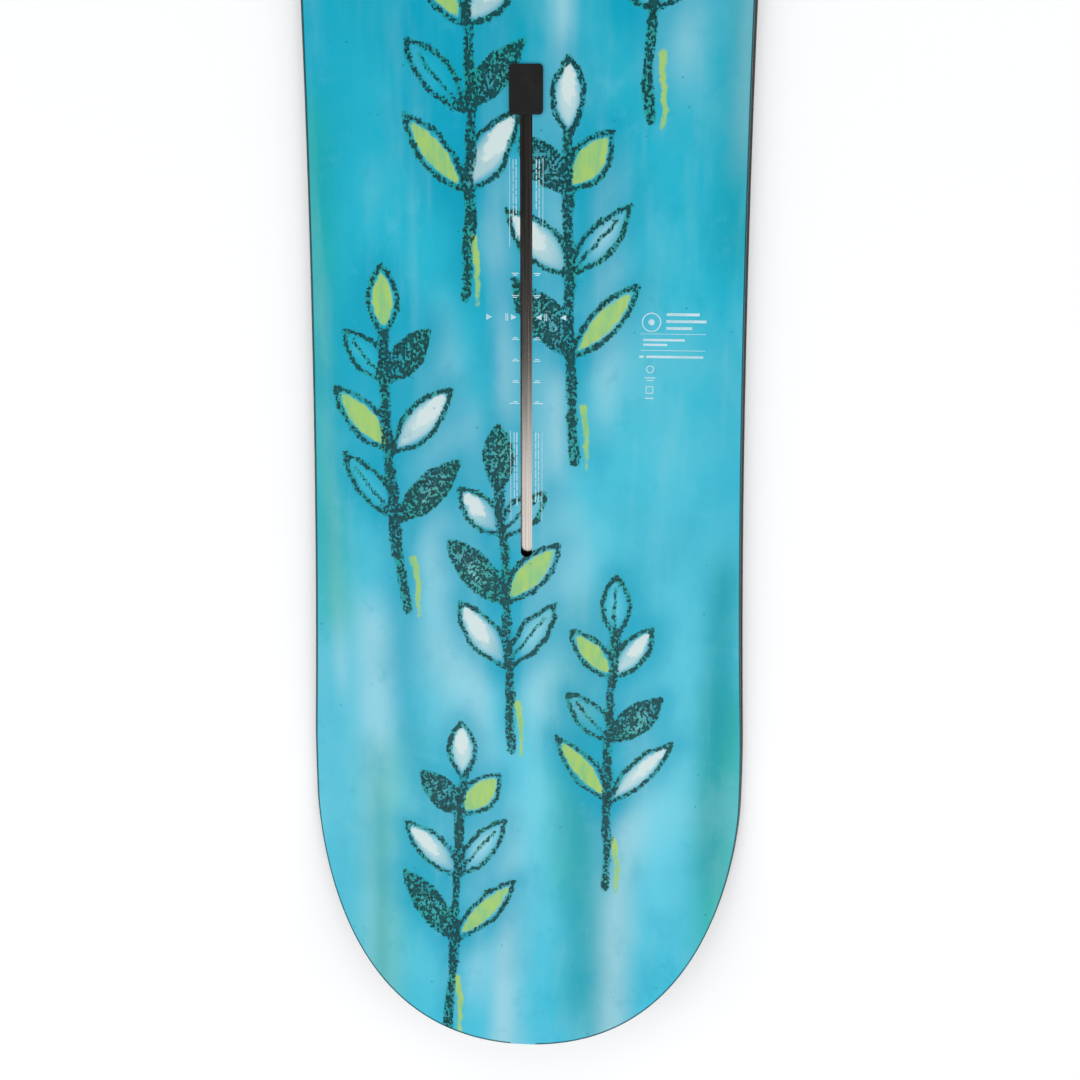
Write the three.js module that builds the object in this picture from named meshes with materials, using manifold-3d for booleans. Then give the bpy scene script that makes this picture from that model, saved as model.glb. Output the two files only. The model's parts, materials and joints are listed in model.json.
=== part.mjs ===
// A directional snowboard with two slotted binding channels, in millimetres.
//
// The board lies flat on its base: +Y runs from the tail to the nose, +X is the right-hand edge
// seen from above, and +Z points up through the topsheet. The origin is on the ground, halfway
// between the two tips. The running surface is flat and both ends kick up in a smooth curve.
//
// From the ground up it is a sandwich: base sheet, steel edge, rubber foil, lower fibreglass,
// wood core with sidewalls and tip spacers, upper fibreglass, topsheet. Under each foot a steel
// rail with two lips is let into the core. It holds two T-nuts that slide along it, and a rubber
// plug closes the pocket where the nuts go in.

import * as THREE from "three";
import { mergeVertices } from "three/addons/utils/BufferGeometryUtils.js";
import Module from "manifold-3d";

const wasm = await Module();
wasm.setup();

// ---- Plan outline ----
const BOARD_LENGTH = 1520;
const WAIST_WIDTH = 248;
const SIDECUT_RADIUS = 8800;
const NOSE_LENGTH = 196; // from the widest point to the tip
const TAIL_LENGTH = 168;
const BLEND_LENGTH = 58; // from the end of the sidecut to the widest point
const TIP_BLUNTNESS = 0.94; // how far the tip runs straight across, as a share of the half width
const TIP_SHOULDER = 0.17; // how far the side runs straight on, as a share of the tip's length
const TIP_FLAT = 0.015; // share of the tip's curve that stands for its flat middle

// ---- Side profile ----
const NOSE_KICK_HEIGHT = 48;
const TAIL_KICK_HEIGHT = 40;
const KICK_LEAD = 25; // the kicks start this far inside the widest points
const CORE_THICKNESS = 5.65; // between the feet
const TIP_CORE_THICKNESS = 1;
const TAPER_LEAD = 138; // the core starts to thin this far inside the widest points
const TAPER_LENGTH = 200;

// ---- Layers ----
const GLUE = 0.1; // bond line between layers
const SIDE_GAP = 0.1; // between pieces that lie side by side
const BASE_THICKNESS = 1.3;
const EDGE_HEIGHT = 1.9;
const EDGE_WIDTH = 2;
const FLANGE_REACH = 7.5; // from the outline to the inner end of the flange that anchors the edge
const FOIL_THICKNESS = 0.25;
const FOIL_REACH = 8;
const FOIL_INSET = 0.6;
const LOWER_GLASS_THICKNESS = 0.6; // over the foil; inside the foil it reaches down to the base
const UPPER_GLASS_THICKNESS = 0.8;
const TOPSHEET_THICKNESS = 0.5;
const BEVEL_SLOPE = 0.27; // how much the side leans in for each millimetre of height
const BEVEL_START = 0.1;
const SIDEWALL_REACH = 10; // from the outline to the sidewall's inner face

// ---- Core ----
const STRINGER_WIDTH = 26;
const STRINGERS_PER_SIDE = 4;

// ---- Channels ----
const STANCE_WIDTH = 510;
const TAIL_STANCE = -273; // the tail channel's reference point
const SLOT_WIDTH = 7;
const SLOT_OUTBOARD = 148; // from the reference point out to the slot's round end
const PLUG_CENTRE = 125; // from the reference point in to the plug's middle
const POCKET_WIDTH = 15;
const RAIL_WALL = 1.5;
const RAIL_FLOOR = 1;
const RAIL_END_MARGIN = 3; // how far the rail runs past the slot's round end
const LIP_THICKNESS = 1.2;
const LIP_SHOW = 0.1; // how far each lip shows past the edge of the slot in the topsheet
const END_BLOCK_THICKNESS = 2.6;

// ---- Nuts ----
const NUT_LENGTH = 11.4;
const NUT_SIDE_CLEARANCE = 0.3;
const NUT_FLOOR_CLEARANCE = 0.1;
const NUT_LIP_CLEARANCE = 0.3;
const NUT_END_CLEARANCE = 0.3;
const NUT_GAP = 0.4; // between the two nuts as they are parked under the plug
const BOSS_CLEARANCE = 0.2; // from the boss to each lip
const BOSS_HEIGHT = 1.9;
const THREAD_RADIUS = 2.5; // M6, at the thread's root

// ---- Plug ----
const CAP_SIDE_OVERHANG = 1.85; // past the pocket's sides
const CAP_END_OVERHANG = 1.3; // past the pocket's ends
const CAP_CORNER = 2.2;
const CAP_THICKNESS = 1.6;
const CAP_SEAT = 0.1; // between the cap and the topsheet
const CAP_ROUNDING = 0.5;
const TUNNEL_CLEARANCE = 0.5; // from the plug's legs to the nuts' bosses between them
const LEG_CLEARANCE = 0.25; // from the legs to the pocket's walls and to the nuts below them

// ---- Facets ----
const TIP_STEPS = 16;
const BLEND_STEP = 14.5;
const TAPER_STEP = 24;
const SIDECUT_STEP = 110;
const ROUND_SEGMENTS = 20;
const SLOT_END_SEGMENTS = 4;
const CAP_CORNER_SEGMENTS = 4;

// ---- Worked out from the sizes above ----
const HALF_LENGTH = BOARD_LENGTH / 2;
const NOSE_WIDEST = HALF_LENGTH - NOSE_LENGTH;
const TAIL_WIDEST = -HALF_LENGTH + TAIL_LENGTH;
const WAIST_Y = (NOSE_WIDEST + TAIL_WIDEST) / 2;
const FLANGE_BOTTOM = BASE_THICKNESS + GLUE;
const FOIL_BOTTOM = EDGE_HEIGHT + GLUE;
const FOIL_TOP = FOIL_BOTTOM + FOIL_THICKNESS;
const LOWER_GLASS_TOP = FOIL_TOP + GLUE + LOWER_GLASS_THICKNESS;
const CORE_BOTTOM = LOWER_GLASS_TOP + GLUE;
const CORE_TOP = CORE_BOTTOM + CORE_THICKNESS;
const BOARD_TOP = CORE_TOP + GLUE + UPPER_GLASS_THICKNESS + GLUE + TOPSHEET_THICKNESS;
const RAIL_WIDTH = POCKET_WIDTH + 2 * RAIL_WALL;
const POCKET_LENGTH = 2 * NUT_LENGTH + NUT_GAP + 2 * NUT_END_CLEARANCE;
const RAIL_INBOARD = PLUG_CENTRE + POCKET_LENGTH / 2;
const RAIL_OUTBOARD = SLOT_OUTBOARD + RAIL_END_MARGIN;
const POCKET_OUTBOARD = PLUG_CENTRE - POCKET_LENGTH / 2;
const LIP_GAP = SLOT_WIDTH - 2 * LIP_SHOW;
const LIP_BOTTOM = CORE_TOP - LIP_THICKNESS;
const NUT_BOTTOM = CORE_BOTTOM + RAIL_FLOOR + NUT_FLOOR_CLEARANCE;
const NUT_TOP = LIP_BOTTOM - NUT_LIP_CLEARANCE;
const BOSS_RADIUS = LIP_GAP / 2 - BOSS_CLEARANCE;

const paint = (color, roughness, metalness = 0) =>
  new THREE.MeshStandardMaterial({ color, roughness, metalness, flatShading: true });

const materials = {
  topsheet: paint(0x2fb4cc, 0.32),
  base: paint(0x17191c, 0.4),
  steel: paint(0xa9abad, 0.35, 1),
  glass: paint(0xc9cfae, 0.5),
  foil: paint(0x1b1b1b, 0.9),
  sidewall: paint(0x141517, 0.5),
  spacer: paint(0x1c1d20, 0.5),
  poplar: paint(0xe0c795, 0.7),
  beech: paint(0xb98858, 0.65),
  rail: paint(0xb5b1ac, 0.35, 1),
  endBlock: paint(0x1d1d1f, 0.6),
  nut: paint(0xc3c5c7, 0.3, 1),
  plug: paint(0x161618, 0.75),
};

// ---- The outline: the right-hand side, from the nose tip to the tail tip ----
//
// A station is a place on the outline, x and y, with the direction in from it, inX and inY.

const sidecutRun = (y) => Math.sqrt(SIDECUT_RADIUS ** 2 - (y - WAIST_Y) ** 2);
const sidecutX = (y) => WAIST_WIDTH / 2 + SIDECUT_RADIUS - sidecutRun(y);
const sidecutSlope = (y) => (y - WAIST_Y) / sidecutRun(y);

// Even places after one end of a stretch, up to and with the other, no further apart than a step.
function spaced(from, to, step) {
  const count = Math.ceil(Math.abs(to - from) / step - 1e-9);
  return Array.from({ length: count }, (_, i) => from + ((to - from) * (i + 1)) / count);
}

function stationsOn(curve, shares) {
  return shares.map((share) => {
    const { x, y } = curve.getPoint(share);
    const along = curve.getTangent(share);
    return { x, y, inX: along.y, inY: -along.x };
  });
}

// One end, from its tip to where the sidecut starts. It is drawn as a nose, and a tail is that
// shape turned over: a blunt round tip, then a blend into the sidecut's own slope.
function endStations(sign, widest) {
  const sidecutEnd = widest - BLEND_LENGTH;
  const sidecutHalf = sidecutX(sign * sidecutEnd);
  const slope = Math.abs(sidecutSlope(sign * sidecutEnd));
  const half = sidecutHalf + (slope * BLEND_LENGTH) / 2;
  const third = BLEND_LENGTH / 3;
  const tip = new THREE.CubicBezierCurve(
    new THREE.Vector2(0, HALF_LENGTH),
    new THREE.Vector2(TIP_BLUNTNESS * half, HALF_LENGTH),
    new THREE.Vector2(half, widest + TIP_SHOULDER * (HALF_LENGTH - widest)),
    new THREE.Vector2(half, widest),
  );
  const blend = new THREE.CubicBezierCurve(
    new THREE.Vector2(half, widest),
    new THREE.Vector2(half, widest - third),
    new THREE.Vector2(sidecutHalf + slope * third, sidecutEnd + third),
    new THREE.Vector2(sidecutHalf, sidecutEnd),
  );
  const middle = { x: SIDE_GAP / 2, y: HALF_LENGTH, inX: 0, inY: -1 };
  const stations = [
    middle,
    ...stationsOn(tip, [TIP_FLAT, ...spaced(0, 1, 1 / TIP_STEPS)]),
    ...stationsOn(blend, spaced(0, 1, BLEND_STEP / BLEND_LENGTH)),
  ];
  return stations.map(({ x, y, inX, inY }) => ({ x, y: sign * y, inX, inY: sign * inY }));
}

function sidecutStations() {
  const [noseEnd, noseTaper] = [NOSE_WIDEST - BLEND_LENGTH, NOSE_WIDEST - TAPER_LEAD];
  const [tailEnd, tailTaper] = [TAIL_WIDEST + BLEND_LENGTH, TAIL_WIDEST + TAPER_LEAD];
  const places = [
    ...spaced(noseEnd, noseTaper, TAPER_STEP),
    ...spaced(noseTaper, tailTaper, SIDECUT_STEP),
    ...spaced(tailTaper, tailEnd, TAPER_STEP).slice(0, -1),
  ];
  return places.map((y) => {
    const slope = sidecutSlope(y);
    const length = Math.hypot(slope, 1);
    return { x: sidecutX(y), y, inX: -1 / length, inY: slope / length };
  });
}

const outline = [
  ...endStations(1, NOSE_WIDEST),
  ...sidecutStations(),
  ...endStations(-1, -TAIL_WIDEST).reverse(),
];
const plateOutline = outline.slice(1, -1); // a plate ends square on the flats of the tips

// The stretch of a line between two places, cut square at both.
function stretch(line, fromY, toY) {
  const cut = (y) => {
    const past = line.findIndex((station) => station.y < y);
    const next = past > 0 ? past : line.length - 1;
    const [before, after] = [line[next - 1], line[next]];
    const share = (before.y - y) / (before.y - after.y);
    const between = (key) => before[key] + share * (after[key] - before[key]);
    return { x: between("x"), y, inX: between("inX"), inY: between("inY") };
  };
  const inside = line.filter((station) => station.y < fromY && station.y > toY);
  return [cut(fromY), ...inside, cut(toY)];
}

// ---- Heights ----

// How far a place is towards its own tip, past a point this far inside the widest place.
const pastWidest = (y, lead) => Math.abs(y) - (y > 0 ? NOSE_WIDEST : -TAIL_WIDEST) + lead;

// How far the base has risen above the ground.
function rise(y) {
  const height = y > 0 ? NOSE_KICK_HEIGHT : TAIL_KICK_HEIGHT;
  const run = (y > 0 ? NOSE_LENGTH : TAIL_LENGTH) + KICK_LEAD;
  const share = Math.max(0, pastWidest(y, KICK_LEAD) / run);
  return height * share ** 2 * (1.25 - 0.25 * share);
}

function coreThickness(y) {
  const share = THREE.MathUtils.smoothstep(pastWidest(y, TAPER_LEAD), 0, TAPER_LENGTH);
  return THREE.MathUtils.lerp(CORE_THICKNESS, TIP_CORE_THICKNESS, share);
}

// A level is a height above the base: fixed below the core, and riding on its taper above it.
const below = (height) => () => height;
const aboveCore = (height) => (y) => CORE_BOTTOM + coreThickness(y) + height;

// ---- Skins ----

// Joins rows of points into one closed skin: sides between the rows and a cap at each end.
function skin(rows, cap) {
  const size = rows[0].length;
  const points = rows.flat();
  const triangles = [];
  for (let start = 0; start + size < points.length; start += size) {
    for (let i = 0; i < size; i++) {
      const [here, next] = [start + i, start + ((i + 1) % size)];
      triangles.push([here, next, next + size], [here, next + size, here + size]);
    }
  }
  const last = points.length - size;
  for (const [a, b, c] of cap) {
    triangles.push([c, b, a], [last + a, last + b, last + c]);
  }
  const volume = triangles.reduce(
    (sum, [a, b, c]) => sum + points[a].dot(points[b].clone().cross(points[c])), 0);
  const facing = volume > 0 ? triangles : triangles.map(([a, b, c]) => [a, c, b]);
  return new THREE.BufferGeometry().setFromPoints(points).setIndex(facing.flat());
}

// A cap for a row whose first point sees all the others.
const fan = (size) => Array.from({ length: size - 2 }, (_, i) => [0, i + 1, i + 2]);

// A cap for a row that goes up one side and down its mirror image.
function ladder(size) {
  return Array.from({ length: size / 2 - 1 }, (_, i) => [
    [i, i + 1, size - 2 - i],
    [i, size - 2 - i, size - 1 - i],
  ]).flat();
}

const sideInset = (height) => BEVEL_START + BEVEL_SLOPE * (height - EDGE_HEIGHT);

// A corner is a level and an inset from the outline; with no inset it lies on the bevelled side.
function place(station, side, { level, inset }) {
  const depth = inset ?? sideInset(level(station.y));
  const y = station.y + station.inY * depth;
  return new THREE.Vector3(side * (station.x + station.inX * depth), y, rise(y) + level(y));
}

// A sheet across the whole board. Its corners go from the bottom to the top of one side.
function plate(line, corners) {
  const rows = line.map((station) => [
    ...corners.map((corner) => place(station, 1, corner)),
    ...corners.map((corner) => place(station, -1, corner)).reverse(),
  ]);
  return skin(rows, ladder(2 * corners.length));
}

// A strip along one side of the board. Its corners go round its section.
function strip(side, line, corners) {
  const rows = line.map((station) => corners.map((corner) => place(station, side, corner)));
  return skin(rows, fan(corners.length));
}

// ---- Joining and cutting ----

function toSolid(geometry) {
  const bare = geometry.clone().deleteAttribute("normal").deleteAttribute("uv");
  const merged = mergeVertices(bare);
  return new wasm.Manifold(
    new wasm.Mesh({
      numProp: 3,
      vertProperties: new Float32Array(merged.attributes.position.array),
      triVerts: new Uint32Array(merged.index.array),
    }),
  );
}

function toGeometry(solid) {
  const { vertProperties, triVerts } = solid.getMesh();
  return new THREE.BufferGeometry()
    .setAttribute("position", new THREE.BufferAttribute(vertProperties, 3))
    .setIndex(new THREE.BufferAttribute(triVerts, 1));
}

const cut = (whole, cutters) =>
  toGeometry(cutters.reduce((left, cutter) => left.subtract(toSolid(cutter)), toSolid(whole)));

const join = (pieces) => toGeometry(pieces.map(toSolid).reduce((all, piece) => all.add(piece)));

// A box given by its low and high corners.
function box([lowX, lowY, lowZ], [highX, highY, highZ]) {
  return new THREE.BoxGeometry(highX - lowX, highY - lowY, highZ - lowZ).translate(
    (lowX + highX) / 2, (lowY + highY) / 2, (lowZ + highZ) / 2);
}

// A box that is centred across the board.
const centredBox = (width, fromY, toY, fromZ, toZ) =>
  box([-width / 2, fromY, fromZ], [width / 2, toY, toZ]);

const upright = (radius, fromZ, toZ) =>
  new THREE.CylinderGeometry(radius, radius, toZ - fromZ, ROUND_SEGMENTS)
    .rotateX(Math.PI / 2)
    .translate(0, 0, (fromZ + toZ) / 2);

// ---- Sheets, edges and sidewalls ----

function baseShape() {
  const inset = EDGE_WIDTH + SIDE_GAP;
  return plate(plateOutline, [
    { level: below(0), inset },
    { level: below(BASE_THICKNESS), inset },
  ]);
}

function lowerGlassShape() {
  const inset = FOIL_REACH + SIDE_GAP;
  return plate(plateOutline, [
    { level: below(BASE_THICKNESS + GLUE), inset },
    { level: below(FOIL_TOP + GLUE), inset },
    { level: below(FOIL_TOP + GLUE) },
    { level: below(LOWER_GLASS_TOP) },
  ]);
}

// The two sheets over the core, with the keyhole of each channel cut through them.
function upperSheetShape(bottom, thickness) {
  const whole = plate(plateOutline, [
    { level: aboveCore(bottom) },
    { level: aboveCore(bottom + thickness) },
  ]);
  return cut(whole, channels.map(keyhole));
}

function edgeShape(side) {
  return strip(side, outline, [
    { level: below(FLANGE_BOTTOM), inset: EDGE_WIDTH },
    { level: below(FLANGE_BOTTOM), inset: FLANGE_REACH },
    { level: below(EDGE_HEIGHT), inset: FLANGE_REACH },
    { level: below(EDGE_HEIGHT), inset: 0 },
    { level: below(0), inset: 0 },
    { level: below(0), inset: EDGE_WIDTH },
  ]);
}

function foilShape(side) {
  return strip(side, outline, [
    { level: below(FOIL_BOTTOM), inset: FOIL_INSET },
    { level: below(FOIL_BOTTOM), inset: FOIL_REACH },
    { level: below(FOIL_TOP), inset: FOIL_REACH },
    { level: below(FOIL_TOP), inset: FOIL_INSET },
  ]);
}

function sidewallShape(side) {
  const line = stretch(outline, NOSE_WIDEST - SIDE_GAP / 2, TAIL_WIDEST + SIDE_GAP / 2);
  return strip(side, line, [
    { level: below(CORE_BOTTOM) },
    { level: below(CORE_BOTTOM), inset: SIDEWALL_REACH },
    { level: aboveCore(0), inset: SIDEWALL_REACH },
    { level: aboveCore(0) },
  ]);
}

// A tip spacer takes over from the core and the sidewalls at the widest point.
function spacerShape(isNose) {
  const [first, last] = [plateOutline[0].y, plateOutline.at(-1).y];
  const line = isNose
    ? stretch(plateOutline, first, NOSE_WIDEST + SIDE_GAP / 2)
    : stretch(plateOutline, TAIL_WIDEST - SIDE_GAP / 2, last);
  return plate(line, [{ level: below(CORE_BOTTOM) }, { level: aboveCore(0) }]);
}

// ---- Core ----

// The sidewall's inner face, seen from the core: places along it and the room out to them.
const coreRows = stretch(outline, NOSE_WIDEST - SIDE_GAP / 2, TAIL_WIDEST + SIDE_GAP / 2).map(
  (station) => place(station, 1, { level: below(0), inset: SIDEWALL_REACH + SIDE_GAP }));
const taperRows = coreRows.filter(({ y }) => pastWidest(y, TAPER_LEAD) >= 0);

// A bar of wood between two distances from the middle, no wider than the room for it.
function bar(side, from, to, rows) {
  const corners = rows.map(({ x, y }) => {
    const [bottom, top] = [CORE_BOTTOM, aboveCore(0)(y)].map((level) => rise(y) + level);
    const outer = Math.min(to, x);
    return [
      new THREE.Vector3(side * from, y, bottom),
      new THREE.Vector3(side * outer, y, bottom),
      new THREE.Vector3(side * outer, y, top),
      new THREE.Vector3(side * from, y, top),
    ];
  });
  return skin(corners, fan(4));
}

// A side stringer, counted out from the middle. The outermost is milled to the sidecut.
function stringerShape(side, count) {
  const from = RAIL_WIDTH / 2 + SIDE_GAP + (count - 1) * STRINGER_WIDTH;
  const isOutermost = count === STRINGERS_PER_SIDE;
  const to = isOutermost ? Infinity : from + STRINGER_WIDTH - SIDE_GAP;
  return bar(side, from, to, isOutermost ? coreRows : taperRows);
}

// A piece of the middle stringer, which is as wide as the rails that interrupt it.
function centreShape(fromY, toY) {
  const inside = taperRows.filter(({ y }) => y < fromY && y > toY);
  const rows = [{ x: Infinity, y: fromY }, ...inside, { x: Infinity, y: toY }];
  return bar(1, -RAIL_WIDTH / 2, RAIL_WIDTH / 2, rows);
}

// ---- Channels: drawn with +Y outboard and the reference point at y = 0 ----

const channels = [
  { name: "nose", stance: TAIL_STANCE + STANCE_WIDTH, turn: 0 },
  { name: "tail", stance: TAIL_STANCE, turn: Math.PI },
];

// The cut through the upper sheets: a square pocket that runs on as a round-ended slot.
function keyhole({ stance, turn }) {
  const [half, slotHalf] = [POCKET_WIDTH / 2, SLOT_WIDTH / 2];
  const shape = new THREE.Shape()
    .moveTo(-half, -RAIL_INBOARD)
    .lineTo(half, -RAIL_INBOARD)
    .lineTo(half, -POCKET_OUTBOARD)
    .lineTo(slotHalf, -POCKET_OUTBOARD)
    .absarc(0, SLOT_OUTBOARD - slotHalf, slotHalf, 0, Math.PI)
    .lineTo(-slotHalf, -POCKET_OUTBOARD)
    .lineTo(-half, -POCKET_OUTBOARD);
  const margin = 1;
  const depth = BOARD_TOP - CORE_TOP + 2 * margin;
  const options = { depth, bevelEnabled: false, curveSegments: SLOT_END_SEGMENTS };
  return new THREE.ExtrudeGeometry(shape, options)
    .translate(0, 0, CORE_TOP - margin)
    .rotateZ(turn)
    .translate(0, stance, 0);
}

function railShape() {
  const floor = CORE_BOTTOM + RAIL_FLOOR;
  const margin = 1;
  const block = centredBox(RAIL_WIDTH, -RAIL_INBOARD, RAIL_OUTBOARD, CORE_BOTTOM, CORE_TOP);
  const [inboard, outboard] = [-RAIL_INBOARD - margin, RAIL_OUTBOARD + margin];
  return cut(block, [
    centredBox(POCKET_WIDTH, inboard, outboard, floor, LIP_BOTTOM),
    centredBox(LIP_GAP, inboard, outboard, floor + margin, CORE_TOP + margin),
    centredBox(POCKET_WIDTH, inboard, -POCKET_OUTBOARD, floor + margin, CORE_TOP + margin),
  ]);
}

// A block closes each end of the rail, so that resin stays out when the board is pressed.
function endBlockShape(fromY) {
  return centredBox(RAIL_WIDTH, fromY, fromY + END_BLOCK_THICKNESS, CORE_BOTTOM, CORE_TOP);
}

// A T-nut: a flange that can't turn in the rail, and a boss that runs between the lips.
function nutShape() {
  const half = NUT_LENGTH / 2;
  const top = NUT_TOP + BOSS_HEIGHT;
  const width = POCKET_WIDTH - 2 * NUT_SIDE_CLEARANCE;
  const flange = centredBox(width, -half, half, NUT_BOTTOM, NUT_TOP);
  const body = join([flange, upright(BOSS_RADIUS, (NUT_BOTTOM + NUT_TOP) / 2, top)]);
  return cut(body, [upright(THREAD_RADIUS, NUT_BOTTOM - 1, top + 1)]);
}

function roundedRectangle(width, length, radius) {
  const [x, y] = [width / 2 - radius, length / 2 - radius];
  return new THREE.Shape()
    .absarc(x, y, radius, 0, Math.PI / 2)
    .absarc(-x, y, radius, Math.PI / 2, Math.PI)
    .absarc(-x, -y, radius, Math.PI, Math.PI * 1.5)
    .absarc(x, -y, radius, Math.PI * 1.5, Math.PI * 2)
    .getPoints(CAP_CORNER_SEGMENTS / 2);
}

// The plug's cap lies on the topsheet, and its two legs hang in the pocket above the nuts.
function plugShape() {
  const bottom = BOARD_TOP + CAP_SEAT;
  const shoulder = bottom + CAP_THICKNESS - CAP_ROUNDING;
  const width = POCKET_WIDTH + 2 * CAP_SIDE_OVERHANG;
  const length = POCKET_LENGTH + 2 * CAP_END_OVERHANG;
  const ring = (inset, z) =>
    roundedRectangle(width - 2 * inset, length - 2 * inset, CAP_CORNER - inset)
      .slice(0, -1)
      .map(({ x, y }) => new THREE.Vector3(x, y, z));
  const rounding = [0, Math.PI / 4, Math.PI / 2].map((angle) =>
    ring(CAP_ROUNDING * (1 - Math.cos(angle)), shoulder + CAP_ROUNDING * Math.sin(angle)));
  const cap = skin([ring(0, bottom), ...rounding], fan(rounding[0].length));
  const outer = POCKET_WIDTH / 2 - LEG_CLEARANCE;
  const halfLength = POCKET_LENGTH / 2 - LEG_CLEARANCE;
  const inner = BOSS_RADIUS + TUNNEL_CLEARANCE;
  const legs = [[inner, outer], [-outer, -inner]].map(([low, high]) =>
    box([low, -halfLength, NUT_TOP + LEG_CLEARANCE], [high, halfLength, shoulder]));
  return join([cap, ...legs]);
}

// ---- The board ----

function mesh(name, geometry, material, y = 0) {
  const result = new THREE.Mesh(geometry, material);
  result.name = name;
  result.position.y = y;
  return result;
}

function channelGroup({ name, stance, turn }) {
  const group = new THREE.Group();
  group.position.y = stance;
  group.rotation.z = turn;
  const innerNut = -RAIL_INBOARD + NUT_END_CLEARANCE + NUT_LENGTH / 2;
  const outerNut = innerNut + NUT_LENGTH + NUT_GAP;
  group.add(
    mesh(`${name}_channel_rail`, railShape(), materials.rail),
    mesh(`${name}_channel_block_inner`,
      endBlockShape(-RAIL_INBOARD - SIDE_GAP - END_BLOCK_THICKNESS), materials.endBlock),
    mesh(`${name}_channel_block_outer`,
      endBlockShape(RAIL_OUTBOARD + SIDE_GAP), materials.endBlock),
    mesh(`${name}_channel_nut_inner`, nutShape(), materials.nut, innerNut),
    mesh(`${name}_channel_nut_outer`, nutShape(), materials.nut, outerNut),
    mesh(`${name}_channel_plug`, plugShape(), materials.plug, -PLUG_CENTRE),
  );
  return group;
}

function sidePieces(side, name) {
  const stringers = Array.from({ length: STRINGERS_PER_SIDE }, (_, i) =>
    mesh(`core_stringer_${name}_${i + 1}`, stringerShape(side, i + 1),
      i % 2 ? materials.beech : materials.poplar));
  return [
    mesh(`steel_edge_${name}`, edgeShape(side), materials.steel),
    mesh(`edge_foil_${name}`, foilShape(side), materials.foil),
    mesh(`sidewall_${name}`, sidewallShape(side), materials.sidewall),
    ...stringers,
  ];
}

function centrePieces() {
  const [nose, tail] = channels.map(({ stance }) => stance);
  const inboard = RAIL_INBOARD + END_BLOCK_THICKNESS + 2 * SIDE_GAP;
  const outboard = RAIL_OUTBOARD + END_BLOCK_THICKNESS + 2 * SIDE_GAP;
  const [noseEnd, tailEnd] = [coreRows[0].y, coreRows.at(-1).y];
  return [
    mesh("core_centre_nose", centreShape(noseEnd, nose + outboard), materials.beech),
    mesh("core_centre_middle", centreShape(nose - inboard, tail + inboard), materials.beech),
    mesh("core_centre_tail", centreShape(tail - outboard, tailEnd), materials.beech),
  ];
}

const topsheetBottom = 2 * GLUE + UPPER_GLASS_THICKNESS;
const board = new THREE.Group();
board.add(
  mesh("base_sheet", baseShape(), materials.base),
  mesh("lower_fibreglass", lowerGlassShape(), materials.glass),
  mesh("upper_fibreglass", upperSheetShape(GLUE, UPPER_GLASS_THICKNESS), materials.glass),
  mesh("topsheet", upperSheetShape(topsheetBottom, TOPSHEET_THICKNESS), materials.topsheet),
  mesh("nose_spacer", spacerShape(true), materials.spacer),
  mesh("tail_spacer", spacerShape(false), materials.spacer),
  ...sidePieces(1, "right"),
  ...sidePieces(-1, "left"),
  ...centrePieces(),
  ...channels.map(channelGroup),
);

export default board;
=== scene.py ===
import json
import math

import bpy
import numpy as np
from mathutils import Matrix, Vector


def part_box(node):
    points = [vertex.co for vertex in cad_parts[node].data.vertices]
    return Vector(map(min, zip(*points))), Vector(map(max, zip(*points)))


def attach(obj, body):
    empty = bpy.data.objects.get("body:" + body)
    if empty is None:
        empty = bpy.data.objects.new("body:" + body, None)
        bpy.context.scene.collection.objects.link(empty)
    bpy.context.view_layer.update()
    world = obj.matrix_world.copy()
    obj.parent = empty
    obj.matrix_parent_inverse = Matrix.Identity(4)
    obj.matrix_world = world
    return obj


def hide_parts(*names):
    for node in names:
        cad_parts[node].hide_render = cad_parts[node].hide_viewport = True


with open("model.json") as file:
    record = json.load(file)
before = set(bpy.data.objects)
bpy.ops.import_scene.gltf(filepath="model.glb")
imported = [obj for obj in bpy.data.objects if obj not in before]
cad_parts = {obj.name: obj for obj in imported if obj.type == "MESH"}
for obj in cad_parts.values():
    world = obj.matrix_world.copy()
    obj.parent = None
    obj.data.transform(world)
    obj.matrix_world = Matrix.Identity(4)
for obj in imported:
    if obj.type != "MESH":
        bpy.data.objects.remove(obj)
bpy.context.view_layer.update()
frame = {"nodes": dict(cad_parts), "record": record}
scene = bpy.context.scene
nodes = frame["nodes"]
mm = 0.001
print("frame loaded")


# Camera, floor and light

view = {
    "lens": 43.61,            # on a 36 mm wide sensor
    "place": (0.0534, -0.1457, 0.7673),
    "tilt": 19.215,           # degrees from straight down, towards the tail
    "yaw": 3.214,
    "roll": 1.29,
    "floorColour": (0.96, 0.96, 0.96),
    "floorGlow": 0.09,
    "floorReach": 40,
    "floorHeight": -0.0005,    # just clear of the flat base
    "skyStrength": 0.50,
    "ceiling": (0.90, 0.985),  # how upright a direction is where the ceiling starts, and is darkest
    "ceilingStrength": 0.03,
}
softboxes = {                 # where, aimed at, size and watts
    "tailSoftbox": ((0.1, -1.75, 2.3), (0, -0.45, 0), (2.8, 1.7), 26),
    "leftSoftbox": ((-2.0, -0.2, 1.7), (0, -0.3, 0), (1.4, 2.4), 14),
    "rightSoftbox": ((2.0, -0.1, 1.7), (0, -0.3, 0), (1.4, 2.4), 12),
    "noseSoftbox": ((0, 2.2, 1.9), (0, 0.2, 0), (2.2, 1.4), 13),
}


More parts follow.
